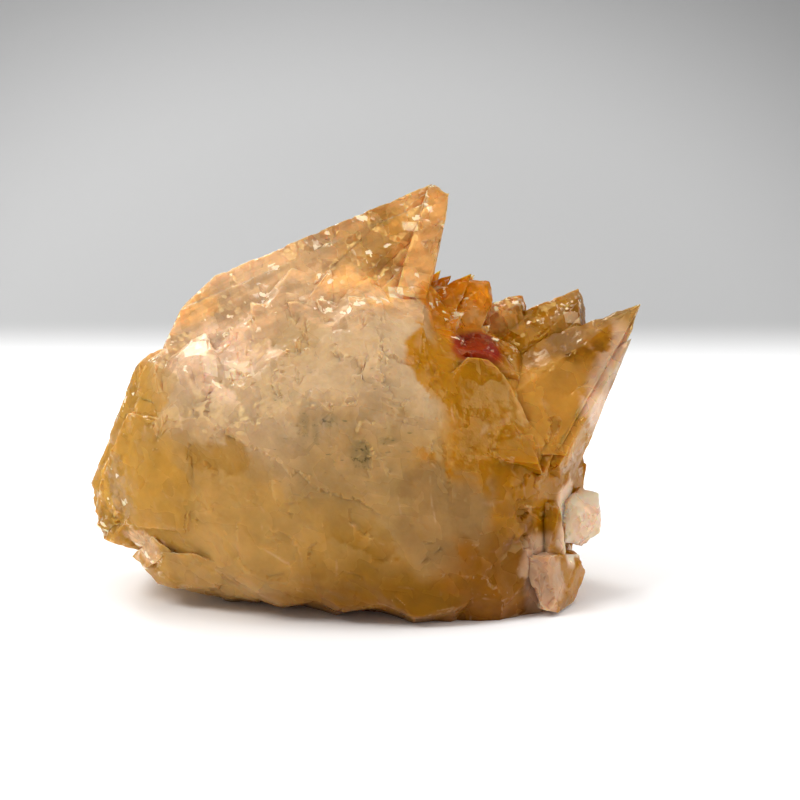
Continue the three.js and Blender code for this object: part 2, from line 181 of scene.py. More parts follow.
class CalciteFinish(bpy.types.PropertyGroup):
    """How glassy, clear, cracked and dirty the calcite is."""

    smoothest: share("Smoothest", "Roughness of the glassiest flakes", 0.12)
    roughest: share("Roughest", "Roughness of the dullest flakes", 0.37)
    refraction: FloatProperty(
        name="Refraction", description="How strongly the calcite bends light", min=1, max=2, default=1.56
    )
    mirroring: share("Mirroring", "How much light the surface mirrors", 0.2)
    scatter_depth: length("Scatter Depth", "How deep light spreads under milky calcite", 3 * MM)
    absorption: FloatProperty(
        name="Absorption", description="Light lost on its way through, per metre", min=0, default=40
    )
    least_clear: share("Least Clear", "How much light passes plainly through the milky front", 0.1)
    most_clear: share("Most Clear", "How much light passes plainly through the clearest points", 0.6)
    cracks: share("Cracks", "How plainly the pale inner cracks show", 0.16)
    streaks: share("Streaks", "How much the streaks along the teeth darken and lighten them", 0.16)
    # The glints are painted highlights, white in the colour.
    painted_glints: share("Glints", "How white the small split facets are", 0.85)
    # The pale edge lines are partly frosted wear, partly painted highlight.
    ridges: share("Ridges", "How frosted the sharp edges are", 0.45)
    grooves: share("Grooves", "How amber the creases are", 0.25)
    dirt: share("Dirt", "How much of the dirt in the pits shows", 0.38)
    specks: share("Specks", "How dark the specks in the dirt are", 0.85)
    strokes: share("Strokes", "How dark the fine strokes round the pit are", 0.7)


class CalciteStage(bpy.types.PropertyGroup):
    """The sweep under the specimen, its light and its camera."""

    sweep_width: length("Sweep Width", "Width of the floor and of the backdrop", 3.0)
    sweep_front: length("Sweep Front", "How far the floor reaches in front of the specimen", 1.2)
    sweep_back: length("Sweep Back", "Where the floor starts to turn up", 0.22)
    sweep_bend: length("Sweep Bend", "Radius of the bend between floor and backdrop", 0.35)
    sweep_rise: length("Sweep Rise", "Height of the backdrop above the bend", 1.2)
    camera_distance: length("Camera Distance", "From the lens to the specimen", 0.5)
    camera_rise: FloatProperty(
        name="Camera Rise",
        description="How far the camera looks down",
        subtype="ANGLE",
        default=math.radians(10),
    )
    picture_width: length("Picture Width", "Width of the view at the specimen", 177.12 * MM)
    air_light: FloatProperty(
        name="Air Light", description="Strength of the even light from all round", min=0, default=0.5
    )


class Nodes:
    """Adds nodes to one tree, shader or geometry, and feeds each as it is made."""

    def __init__(self, tree):
        self.tree = tree

    def put(self, kind, feeds=None, **settings):
        """Adds a node with its settings and feeds it."""
        made = self.tree.nodes.new(kind)
        for name, value in settings.items():
            setattr(made, name, value)
        for socket, value in (feeds or {}).items():
            self.feed(made.inputs[socket], value)
        return made

    def add(self, kind, feeds=None, out=0, **settings):
        """Puts a node and gives back one of its outputs."""
        return self.put(kind, feeds, **settings).outputs[out]

    def feed(self, socket, value):
        """Links an output to a socket, or sets a number, vector or colour on it."""
        if isinstance(value, bpy.types.NodeSocket):
            self.tree.links.new(value, socket)
        elif socket.type == "RGBA" and len(value) == 3:
            socket.default_value = (*value, 1)
        else:
            socket.default_value = value

    def maths(self, operation, *values):
        """Works on numbers."""
        return self.add("ShaderNodeMath", dict(enumerate(values)), operation=operation)

    def vectors(self, operation, *values, out=0, scale=None):
        """Works on places, directions or colours."""
        feeds = dict(enumerate(values))
        if scale is not None:
            feeds["Scale"] = scale
        return self.add("ShaderNodeVectorMath", feeds, out=out, operation=operation)

    def plus(self, *values):
        total = values[0]
        for value in values[1:]:
            total = self.maths("ADD", total, value)
        return total

    def times(self, *values):
        total = values[0]
        for value in values[1:]:
            total = self.maths("MULTIPLY", total, value)
        return total

    def either(self, *masks):
        """The strongest of some masks."""
        total = masks[0]
        for mask in masks[1:]:
            total = self.maths("MAXIMUM", total, mask)
        return total

    def within(self, value, low, high, start=0.0, end=1.0):
        """start below low, end above high, and smooth between them."""
        feeds = {"Value": value, "From Min": low, "From Max": high, "To Min": start, "To Max": end}
        return self.add("ShaderNodeMapRange", feeds, interpolation_type="SMOOTHSTEP")

    def noise(self, at, width, detail=2.0, roughness=0.5, out=0):
        """Soft noise whose lumps are about width mm across."""
        feeds = {"Vector": at, "Scale": 1 / width, "Detail": detail, "Roughness": roughness}
        return self.add("ShaderNodeTexNoise", feeds, out=out)

    def across_cleavage(self, at):
        """How far along each cleavage direction a place is, as one vector."""
        reaches = [self.vectors("DOT_PRODUCT", at, normal, out="Value") for normal in cleavage_normals()]
        return self.add("ShaderNodeCombineXYZ", dict(enumerate(reaches)))

    def blocks(self, split, width):
        """Random blocks about width mm across, with faces along the cleavage planes."""
        feeds = {"Vector": split, "Scale": 1 / width}
        return self.put("ShaderNodeTexVoronoi", feeds, distance="CHEBYCHEV").outputs

    def facets(self, split, width):
        """A height in mm: each block is a flat facet that leans its own way, with a slope of up to 1."""
        block = self.blocks(split, width)
        lean = self.vectors("SUBTRACT", block["Color"], MID_COLOUR)
        arm = self.vectors("SUBTRACT", split, block["Position"])
        slope = self.vectors("DOT_PRODUCT", arm, lean, out="Value")
        return self.times(slope, 2.0)

    def strayed(self, start, colour, reach):
        """A place or direction moved by a random colour, up to half of reach along each axis."""
        stray = self.vectors("SUBTRACT", colour, MID_COLOUR)
        return self.vectors("ADD", start, self.vectors("SCALE", stray, scale=reach))

    def chance(self, colour):
        """One random number, from 0 to 1, out of a random colour."""
        return self.vectors("DOT_PRODUCT", colour, (1, 0, 0), out="Value")

    def from_mesh(self, name, out=2):
        """A value that the mesh keeps on its points."""
        return self.add("ShaderNodeAttribute", out=out, attribute_name=name, attribute_type="GEOMETRY")

    def ball(self, at, middle, radii, soft=0.3):
        """1 inside an upright egg of these radii in mm, 0 outside, smooth over the soft share between."""
        arm = self.vectors("DIVIDE", self.vectors("SUBTRACT", at, middle), radii)
        return self.within(self.vectors("LENGTH", arm, out="Value"), 1 - soft, 1 + soft, 1.0, 0.0)

    def balls(self, at, table, soft=0.3):
        """The strongest of a table of eggs, each with its middle, its radii and its strength."""
        masks = [self.times(self.ball(at, middle, radii, soft), most) for middle, radii, most in table]
        return self.either(*masks)

    def brick(self, split, middle, reach):
        """1 inside a block with cleavage planes for faces, 0 outside; reach is its half widths in mm."""
        heart = [Vector(middle).dot(normal) for normal in cleavage_normals()]
        arm = self.vectors("DIVIDE", self.vectors("SUBTRACT", split, heart), reach)
        sides = self.put("ShaderNodeSeparateXYZ", {0: self.vectors("ABSOLUTE", arm)}).outputs
        return self.within(self.either(*sides), 0.92, 1.0, 1.0, 0.0)

    def blend(self, factor, first, second):
        """The first colour at 0, the second at 1."""
        feeds = {"Factor": factor, 6: first, 7: second}
        return self.add("ShaderNodeMix", feeds, out=2, data_type="RGBA")


# The egg in mm that holds the broken front.
FRONT = ((-10, -30, 40), (34, 16, 34))
# The eggs where the surface is broken, with how broken it is, and how broken it is everywhere else.
BROKEN = (
    (*FRONT, 0.75),
    ((-5, 34, 30), (60, 22, 34), 1.0),
    ((-50, -8, 20), (20, 22, 40), 0.5),
    ((36, -18, 18), (26, 20, 30), 0.6),
)
LEAST_BROKEN = 0.16

# The colour of each place, its egg in mm, its strength and how soft its edge is. A later one lies over
# an earlier one.
# Some of these eggs paint light or shade into the colour, and say so beside them.
ZONES = (
    ("sand", (-30, -28, 26), (26, 20, 28), 1.0, 0.3),
    ("straw", (-54, -16, 30), (17, 24, 32), 1.0, 0.15),
    # Partly dark golden calcite, partly painted shade at the bottom.
    ("olive_and_foot_shade", (17, -34, 2), (38, 24, 15), 1.0, 0.35),
    ("cream", (-14, -24, 56), (36, 22, 19), 1.0, 0.3),
    ("cream", (-6, -34, 46), (24, 14, 14), 1.0, 0.35),
    ("mist", (-12, -24, 59), (7, 12, 5), 0.5, 0.5),
    ("mist", (5, -36, 33), (22, 14, 12), 0.9, 0.4),
    ("gold", (34, -14, 34), (24, 30, 42), 1.0, 0.12),
    ("veil", (18, -31, 24), (9, 12, 9.5), 1.0, 0.2),
    # Partly brown amber, partly painted shade at the bottom.
    ("brown", (29, -28, 6), (13, 18, 15), 1.0, 0.3),
    ("gold", (13, -24, 56), (5, 9, 9), 1.0, 0.08),
    ("ochre", (-31, -30, 36.5), (5.5, 8, 4.5), 0.6, 0.1),
    ("blush", (-34, -10, 64), (22, 20, 14), 1.0, 0.25),
    ("blush", (-10, -10, 68), (28, 12, 9), 0.9, 0.25),
    ("peach", (2, -2, 80), (26, 20, 13), 1.0, 0.2),
    ("honey", (4, -4, 80), (7, 8, 6), 0.7, 0.4),
    ("blush", (-16, -4, 75), (11, 12, 7), 0.8, 0.3),
    ("amber", (16, 1, 87), (6, 8, 6), 0.12, 0.3),
    ("pearl", (-29, -20, 56), (9, 9, 8), 0.45, 0.4),
    ("peach", (-38, -8, 63), (7, 8, 5), 0.7, 0.3),
    ("amber", (23, 3, 62), (14, 16, 13), 1.0, 0.12),
    # Painted light: a paler patch on a shaded face in the valley.
    ("peach", (28, 4, 61), (4.5, 6, 4.5), 0.8, 0.3),
    # Partly deep red calcite, partly painted shade in the recess.
    ("red_and_recess_shade", (25, -9, 56), (7, 8, 4.5), 1.0, 0.2),
    ("gold", (42, 0, 58), (12, 14, 9), 0.8, 0.2),
    ("brown", (38, 6, 63), (5, 6, 4), 0.4, 0.3),
    # Painted light: paler honey on shaded steep faces in the valley.
    ("honey", (45, 0, 60), (3.5, 5, 4), 0.8, 0.3),
    ("honey", (42, -12, 44), (12, 9, 12), 1.0, 0.3),
    ("gold", (45, -6, 57), (9.5, 5, 6), 1.0, 0.15),
    # Painted shade: brown that darkens a face the key lamp lights.
    ("brown", (43, -5, 55), (7, 5, 3.5), 0.6, 0.3),
    ("pearl", (55.5, -6, 55), (4.4, 9, 9), 0.7, 0.3),
    ("pearl", (52.5, -8, 43), (4, 9, 9), 0.7, 0.3),
    ("pearl", (39, -24, 8), (6, 8, 9), 0.38, 0.15),
    ("pearl", (50, -13, 18), (9, 9, 9), 1.0, 0.12),
    ("pearl", (-46, -20, 13), (5, 8, 5), 0.4, 0.15),
)
# Eggs of clear calcite, with how clear each is, and of calcite that glitters, with how much.
CLEAR = (
    ((23, 4, 62), (15, 18, 13), 0.8),
    ((8, 0, 82), (26, 18, 12), 0.8),
    ((54, 0, 56), (13, 14, 16), 1.0),
    ((50, -13, 18), (9, 9, 9), 0.5),
    ((36, -12, 34), (26, 26, 36), 0.5),
)
SPARKLY = (
    ((-10, -10, 68), (30, 12, 9), 1.0),
    ((-36, -12, 60), (14, 14, 13), 1.0),
    ((6, 0, 80), (22, 14, 14), 1.0),
    ((24, 4, 62), (18, 16, 13), 1.0),
    ((-57, -14, 34), (6, 14, 34), 1.0),
    ((42, 4, 63), (8, 8, 5), 1.0),
    ((-46, -20, 13), (6, 8, 6), 1.0),
)
# Single facets painted pale as highlights: the middle in mm, the half widths in mm across the three
# cleavage directions, and how pale each is.
PAINTED_LIT_FACETS = (
    ((-35.7, -16.8, 57.0), (2.2, 2.6, 2.2), 0.95),
    ((-32.4, -20.8, 54.0), (2.6, 1.6, 2.6), 0.4),
    ((-26.0, -23.0, 54.0), (3.4, 3.0, 2.0), 0.3),
    ((9.6, -3.2, 82.0), (0.9, 2.2, 1.2), 0.5),
    ((7.0, -9.6, 68.4), (1.2, 1.6, 1.2), 0.7),
    ((45.6, 2.0, 61.0), (0.9, 1.6, 1.2), 0.4),
)
# The egg of the front that has fine dark strokes, and the dirty eggs in it, with how dirty each is.
STROKED = ((-4, -34, 44), (22, 10, 16))
STAINS = (
    ((-0.2, -36, 38.2), (2.0, 5, 2.9), 1.0),
    ((-6.8, -34, 44.8), (1.7, 4, 1.4), 0.8),
    ((-12.2, -34, 43.6), (1.2, 4, 3.4), 0.6),
    ((-9.6, -34, 43.0), (0.7, 4, 2.6), 0.6),
    ((5.2, -34, 40.4), (1.8, 5, 0.7), 0.8),
    ((-17, -29, 49), (3, 5, 2.4), 0.3),
)


def select_none():
    """Leaves edit mode and deselects everything."""
    if bpy.context.mode != "OBJECT":
        bpy.ops.object.mode_set(mode="OBJECT")
    bpy.ops.object.select_all(action="DESELECT")


def select_only(piece):
    """Selects one piece and makes it the active one."""
    select_none()
    piece.select_set(True)
    bpy.context.view_layer.objects.active = piece


def copy_of_node(name):
    """The CAD node's mesh as a new closed piece, its loose triangles merged and its flat faces whole."""
    select_only(frame["nodes"][CAD_NODE])
    bpy.ops.object.duplicate()
    piece = bpy.context.object
    bpy.ops.object.parent_clear(type="CLEAR_KEEP_TRANSFORM")
    for key in list(piece.keys()):
        del piece[key]
    piece.name = name
    piece.data.name = name
    bpy.ops.object.mode_set(mode="EDIT")
    bpy.ops.mesh.select_all(action="SELECT")
    bpy.ops.mesh.customdata_custom_splitnormals_clear()
    bpy.ops.mesh.remove_doubles(threshold=SAME_PLACE)
    bpy.ops.mesh.dissolve_limited(angle_limit=SAME_FACE)
    bpy.ops.mesh.quads_convert_to_tris(quad_method="BEAUTY", ngon_method="BEAUTY")
    bpy.ops.object.mode_set(mode="OBJECT")
    return piece


def long_edges(mesh, longest, base_longest):
    """True for each edge that is too long and is the longest of both its triangles."""
    corners = np.empty(len(mesh.vertices) * 3, np.float32)
    mesh.vertices.foreach_get("co", corners)
    corners = corners.reshape(-1, 3)
    ends = np.empty(len(mesh.edges) * 2, np.int32)
    mesh.edges.foreach_get("vertices", ends)
    ends = ends.reshape(-1, 2)
    sides = np.empty(len(mesh.loops), np.int32)
    mesh.loops.foreach_get("edge_index", sides)
    sides = sides.reshape(-1, 3)
    lengths = np.linalg.norm(corners[ends[:, 0]] - corners[ends[:, 1]], axis=1).astype(float)
    # A hair is added to each length, so that no two edges of a triangle rank the same.
    ranked = lengths + np.arange(len(lengths)) * 1e-11
    longest_side = sides[np.arange(len(sides)), np.argmax(ranked[sides], axis=1)]
    votes = np.bincount(longest_side, minlength=len(lengths))
    under = corners[ends, 2].max(axis=1) < ON_THE_CUT
    return (votes == 2) & (lengths > np.where(under, base_longest, longest))


def refine(piece, longest, base_longest):
    """Halves the longest edges of the piece's triangles until all are short."""
    bpy.context.tool_settings.mesh_select_mode = (False, True, False)
    mesh = piece.data
    while True:
        chosen = long_edges(mesh, longest, base_longest)
        if not chosen.any():
            return
        mesh.vertices.foreach_set("select", np.zeros(len(mesh.vertices), bool))
        mesh.polygons.foreach_set("select", np.zeros(len(mesh.polygons), bool))
        mesh.edges.foreach_set("select", chosen)
        bpy.ops.object.mode_set(mode="EDIT")
        bpy.ops.mesh.subdivide(number_cuts=1, ngon=False)
        bpy.ops.object.mode_set(mode="OBJECT")


def relief_height(nodes, at, split, sizes):
    """How far the surface moves out, in mm: tilted facets on steps, with the sharp edges nicked."""
    big = nodes.times(nodes.facets(split, sizes.big_facet / MM), sizes.facet_slope)
    small = nodes.times(nodes.facets(split, sizes.small_facet / MM), sizes.facet_slope)
    step = nodes.times(nodes.chance(nodes.blocks(split, sizes.big_facet / MM)["Color"]), sizes.step / MM)
    grain = nodes.times(nodes.plus(nodes.noise(at, 1.6, detail=3), -0.5), 0.2)
    broken = nodes.either(nodes.balls(at, BROKEN), LEAST_BROKEN)
    rough = nodes.times(nodes.plus(big, small, step, grain), broken)
    angle = nodes.add("GeometryNodeInputMeshEdgeAngle")
    near_crease = on_edges(nodes, nodes.maths("GREATER_THAN", angle, WORN_OVER))
    nick = nodes.times(nodes.within(nodes.noise(at, 2.4, detail=3), 0.42, 0.62), sizes.edge_wear / MM)
    worn = nodes.times(nodes.within(near_crease, 0.0, 0.2), nick)
    return nodes.plus(rough, nodes.times(worn, -1.0))


def creased(nodes, shape, softened):
    """The shape with its ridges and grooves kept on its points, weaker where it was softened."""
    turn = nodes.add("GeometryNodeInputMeshEdgeAngle", out=1)
    crisp = nodes.plus(1.0, nodes.times(softened, -1.0))
    for name, way in (("ridge", 1.0), ("groove", -1.0)):
        sharp = nodes.maths("GREATER_THAN", nodes.times(turn, way), SHARP_OVER)
        shape = kept_on_mesh(nodes, shape, name, nodes.times(on_edges(nodes, sharp), crisp))
    return shape


def relief_tree(sizes, finish, colours):
    """Geometry nodes that soften the broken front, split it along the cleavage and nick the sharp edges.

    They also leave on the mesh what its material reads: the broad tone, the clearness and the glitter of
    each place, and where the ridges and grooves run.
    """
    tree = bpy.data.node_groups.new("calcite_relief", "GeometryNodeTree")
    tree.interface.new_socket(name="Geometry", in_out="INPUT", socket_type="NodeSocketGeometry")
    tree.interface.new_socket(name="Geometry", in_out="OUTPUT", socket_type="NodeSocketGeometry")
    nodes = Nodes(tree)
    shape = nodes.add("NodeGroupInput")
    place = nodes.add("GeometryNodeInputPosition")
    at = nodes.vectors("SCALE", place, scale=1 / MM)
    high = nodes.vectors("DOT_PRODUCT", at, (0, 0, 1), out="Value")
    off_the_cut = nodes.within(high, RELIEF_STARTS, RELIEF_FULL)
    softened = nodes.times(nodes.ball(at, *FRONT), off_the_cut)
    rounded = nodes.add(
        "GeometryNodeBlurAttribute",
        {0: place, 1: sizes.softening, 2: softened},
        data_type="FLOAT_VECTOR",
    )
    drift = nodes.noise(at, 5, out="Color")
    split = nodes.across_cleavage(nodes.strayed(at, drift, 1.0))
    lift = nodes.times(relief_height(nodes, at, split, sizes), off_the_cut, MM)
    offset = nodes.vectors("SCALE", nodes.add("GeometryNodeInputNormal"), scale=lift)
    feeds = {"Geometry": shape, "Position": rounded, "Offset": offset}
    moved = nodes.add("GeometryNodeSetPosition", feeds)
    moved = creased(nodes, moved, softened)
    # Colours end at the faces of blocks, because each block reads them from a place of its own nearby.
    spot = nodes.strayed(nodes.strayed(at, drift, 4.0), nodes.blocks(split, COLOUR_BLOCK)["Color"], 6.0)
    moved = kept_on_mesh(nodes, moved, "glitter", nodes.balls(spot, SPARKLY))
    moved = kept_on_mesh(nodes, moved, "clearness", clearness(nodes, spot, finish))
    moved = kept_on_mesh(nodes, moved, "tone", base_colour(nodes, spot, colours), kind="FLOAT_COLOR")
    nodes.put("NodeGroupOutput", {0: moved})
    return tree


def clearness(nodes, place, finish):
    """How much light passes plainly: little in the milky front, most in the crystals' points."""
    return nodes.within(nodes.balls(place, CLEAR), 0.0, 1.0, finish.least_clear, finish.most_clear)


def base_colour(nodes, place, colours):
    """The broad colour of each place, with the painted light and shade that some zones hold."""
    patches = nodes.within(nodes.noise(place, 22), 0.35, 0.65)
    tone = nodes.blend(patches, colours.ochre[:], colours.sand[:])
    for name, middle, radii, strength, soft in ZONES:
        mask = nodes.times(nodes.ball(place, middle, radii, soft), strength)
        tone = nodes.blend(mask, tone, getattr(colours, name)[:])
    return tone


def kept_on_mesh(nodes, shape, name, value, kind="FLOAT"):
    """The shape with a value stored on its points under a name."""
    feeds = {"Geometry": shape, "Name": name, "Value": value}
    return nodes.add("GeometryNodeStoreNamedAttribute", feeds, domain="POINT", data_type=kind)


def on_edges(nodes, value):
    """A value read on the mesh's edges, so that a point gets the mean of the edges round it."""
    return nodes.add("GeometryNodeFieldOnDomain", {0: value}, domain="EDGE", data_type="FLOAT")


def roughen(piece, sizes, finish, colours):
    """Applies the relief, then shades the piece smooth up to its creases."""
    select_only(piece)
    bpy.ops.object.modifier_add(type="NODES")
    relief = piece.modifiers[-1]
    relief.name = "relief"
    relief.node_group = relief_tree(sizes, finish, colours)
    bpy.ops.object.modifier_apply(modifier=relief.name)
    bpy.ops.object.shade_smooth_by_angle(angle=sizes.smooth_under)


def calcite_material(finish, colours):
    """Milky to clear calcite, coloured by place, cracked and cleaved inside."""
    made = bpy.data.materials.new("golden_calcite_finish")
    made.use_nodes = True
    made.node_tree.nodes.clear()
    nodes = Nodes(made.node_tree)
    at = nodes.vectors("SCALE", nodes.add("ShaderNodeTexCoord", out="Object"), scale=1 / MM)
    haze = nodes.noise(at, 6, detail=3)
    split = nodes.across_cleavage(nodes.strayed(at, nodes.noise(at, 8, out="Color"), 1.6))
    flakes = nodes.blocks(split, FLAKE)["Color"]
    chips = nodes.blocks(split, CHIP)["Color"]
    sparkly = nodes.from_mesh("glitter")
    light = brightness(nodes, at, flakes, chips, sparkly)
    tone = nodes.vectors("SCALE", nodes.from_mesh("tone", 0), scale=light)
    tone = cracked(nodes, split, haze, tone, finish, colours)
    tone = streaked(nodes, at, sparkly, tone, finish)
    # Painted highlights: white glints and lit facets blended into the colour.
    painted_glints = painted_glint_mask(nodes, split, chips, haze, sparkly, finish)
    tone = nodes.blend(painted_glints, tone, colours.frost_and_highlight[:])
    tone = edged(nodes, haze, sparkly, tone, finish, colours)
    tone = dirtied(nodes, at, haze, tone, finish, colours)
    clear = nodes.times(nodes.from_mesh("clearness"), nodes.plus(1.0, nodes.times(painted_glints, -0.8)))
    spread = finish.roughest - finish.smoothest
    shine = nodes.plus(finish.smoothest, nodes.times(nodes.chance(flakes), spread))
    surface = nodes.add(
        "ShaderNodeBsdfPrincipled",
        {
            "Base Color": tone,
            "Roughness": shine,
            "IOR": finish.refraction,
            "Specular IOR Level": finish.mirroring,
            "Specular Tint": (1.0, 0.74, 0.26),
            "Normal": flaked(nodes, at, flakes, chips, sparkly),
            "Transmission Weight": clear,
            "Subsurface Weight": 1.0,
            "Subsurface Radius": (1.0, 0.6, 0.3),
            "Subsurface Scale": finish.scatter_depth,
        },
    )
    absorbed = {"Color": (1.0, 0.62, 0.1), "Density": finish.absorption}
    inside = nodes.add("ShaderNodeVolumeAbsorption", absorbed)
    nodes.put("ShaderNodeOutputMaterial", {"Surface": surface, "Volume": inside})
    return made


def flaked(nodes, at, flakes, chips, sparkly):
    """The normal: each flake and chip leans its own way, most where it glitters, over a fine grain."""
    normal = nodes.add("ShaderNodeNewGeometry", out="Normal")
    normal = nodes.strayed(normal, flakes, nodes.within(sparkly, 0, 1, 0.24, 0.68))
    normal = nodes.strayed(normal, chips, nodes.within(sparkly, 0, 1, 0.12, 0.44))
    normal = nodes.vectors("NORMALIZE", normal)
    lumps = nodes.times(nodes.noise(at, 2.5, detail=3), 0.16)
    grain = nodes.times(nodes.noise(at, 0.6, detail=1), 0.045)
    height = nodes.plus(lumps, grain)
    return nodes.add(
        "ShaderNodeBump", {"Strength": 1.0, "Distance": MM, "Height": height, "Normal": normal}
    )


def brightness(nodes, at, flakes, chips, sparkly):
    """Flakes and chips that differ a little, under soft clouds."""
    coarse = nodes.within(nodes.chance(flakes), 0, 1, 0.96, 1.04)
    fine = nodes.plus(1.0, nodes.times(nodes.plus(nodes.chance(chips), -0.5), sparkly, 0.14))
    clouds = nodes.within(nodes.noise(at, 7, detail=4, roughness=0.65), 0.3, 0.7, 0.87, 1.13)
    return nodes.times(coarse, fine, clouds)


def cracked(nodes, split, haze, tone, finish, colours):
    """Thin pale cracks along two of the cleavage directions, each in places of its own."""
    thick_haze = nodes.within(haze, 0.55, 0.68)
    thin_haze = nodes.within(haze, 0.3, 0.43, 1.0, 0.0)
    for direction, where, gap in zip(((1, 0, 0), (0, 1, 0)), (thick_haze, thin_haze), CRACK_GAPS):
        reach = nodes.vectors("DOT_PRODUCT", split, direction, out="Value")
        turn = nodes.maths("FRACT", nodes.times(reach, 1 / gap))
        near = nodes.within(nodes.maths("ABSOLUTE", nodes.plus(turn, -0.5)), 0.0, 0.06, 1.0, 0.0)
        tone = nodes.blend(nodes.times(near, where, finish.cracks), tone, colours.pearl[:])
    return tone


def streaked(nodes, at, sparkly, tone, finish):
    """Darker and paler streaks along the teeth, about seven times as long as they are wide."""
    along = nodes.vectors("DOT_PRODUCT", at, EDGE_RUN, out="Value")
    back = nodes.vectors("SCALE", EDGE_RUN, scale=nodes.times(along, -0.86))
    grain = nodes.noise(nodes.vectors("ADD", at, back), 2.6, detail=3, roughness=0.6)
    streaks = nodes.within(grain, 0.34, 0.66, -1.0, 1.0)
    light = nodes.plus(1.0, nodes.times(streaks, sparkly, finish.streaks))
    return nodes.vectors("SCALE", tone, scale=light)


def painted_glint_mask(nodes, split, chips, haze, sparkly, finish):
    """Painted highlights: swarms of small split facets and slivers painted white as glints, and a few
    larger lit facets with them.
    """
    swarm = nodes.times(nodes.within(haze, 0.46, 0.62), sparkly)
    drawn_out = nodes.vectors("MULTIPLY", split, (1, 0.35, 1))
    sliver = nodes.chance(nodes.blocks(drawn_out, SLIVER)["Color"])
    chip = nodes.vectors("DOT_PRODUCT", chips, (0, 1, 0), out="Value")
    chance = nodes.plus(nodes.either(chip, sliver), nodes.times(swarm, 0.09))
    rare = nodes.within(chance, 0.985, 1.005)
    small = nodes.times(rare, nodes.within(swarm, 0.1, 0.5), finish.painted_glints)
    large = [nodes.times(nodes.brick(split, middle, reach), most) for middle, reach, most in PAINTED_LIT_FACETS]
    return nodes.either(small, *large)


def edged(nodes, haze, sparkly, tone, finish, colours):
    """Thin pale lines on the sharp edges, partly frosted wear and partly painted highlight, and amber
    ones in the creases, broken here and there.
    """
    here = nodes.within(haze, 0.42, 0.6)
    lines = (("ridge", colours.frost_and_highlight, finish.ridges), ("groove", colours.amber, finish.grooves))
    for name, paint, most in lines:
        near = nodes.from_mesh(name)
        line = nodes.times(nodes.within(near, 0.24, 0.34), nodes.within(sparkly, 0, 1, 0.25, 1.0))
        tone = nodes.blend(nodes.times(line, here, most), tone, paint[:])
    return tone


def dirtied(nodes, at, haze, tone, finish, colours):
    """Grey-green dirt in the pits, dark specks in it, and fine strokes round it."""
    stain = nodes.balls(at, STAINS, soft=0.5)
    dots = nodes.within(nodes.noise(at, 1.1, detail=4, roughness=0.7), 0.52, 0.66)
    tone = nodes.blend(nodes.times(stain, finish.dirt), tone, colours.grime[:])
    tone = nodes.blend(nodes.times(stain, dots, finish.specks), tone, colours.speck[:])
    drawn_out = nodes.vectors("MULTIPLY", at, (0.45, 0.5, 1.6))
    thin = nodes.within(nodes.noise(drawn_out, 1.1), 0.66, 0.72)
    scattered = nodes.within(haze, 0.44, 0.56)
    stroke = nodes.times(thin, scattered, nodes.ball(at, *STROKED))
    return nodes.blend(nodes.times(stroke, finish.strokes), tone, colours.grime[:])


class CALCITE_OT_grow_cluster(bpy.types.Operator):
    """Models the cluster round its solid, cleaves and wears its faces, and gives it its calcite"""

    bl_idname = "calcite.grow_cluster"
    bl_label = "Grow Cluster"

    def execute(self, context):
        sizes = context.scene.calcite_sizes
        finish = context.scene.calcite_finish
        colours = context.scene.calcite_colours
        piece = copy_of_node(PIECE)
        refine(piece, sizes.longest_edge, sizes.base_edge)
        roughen(piece, sizes, finish, colours)
        piece.data.materials.clear()
        piece.data.materials.append(calcite_material(finish, colours))
        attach(piece, "root")
        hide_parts(CAD_NODE)
        return {"FINISHED"}


# How pale the floor is, and the backdrop close behind the specimen and in its corners.
# The backdrop's grey, darker towards its corners, is painted shade of light falling off.
FLOOR_TONE = (0.95, 0.95, 0.95)
WALL_TONE = (0.36, 0.36, 0.36)
CORNER_SHADE = (0.16, 0.16, 0.16)


def sweep_material():
    """White floor under a pale grey backdrop, with painted shade that darkens it towards its corners."""
    made = bpy.data.materials.new("studio_sweep")
    made.use_nodes = True
    made.node_tree.nodes.clear()
    nodes = Nodes(made.node_tree)
    at = nodes.add("ShaderNodeTexCoord", out="Object")
    high = nodes.vectors("DOT_PRODUCT", at, (0, 0, 1), out="Value")
    away = nodes.vectors("LENGTH", nodes.vectors("MULTIPLY", at, (0.6, 0, 1)), out="Value")
    wall = nodes.blend(nodes.within(away, 0.08, 0.2), WALL_TONE, CORNER_SHADE)
    tone = nodes.blend(nodes.within(high, 0.001, 0.016), FLOOR_TONE, wall)
    surface = nodes.add("ShaderNodeBsdfPrincipled", {"Base Color": tone, "Roughness": 0.8})
    nodes.put("ShaderNodeOutputMaterial", {"Surface": surface})
    return made


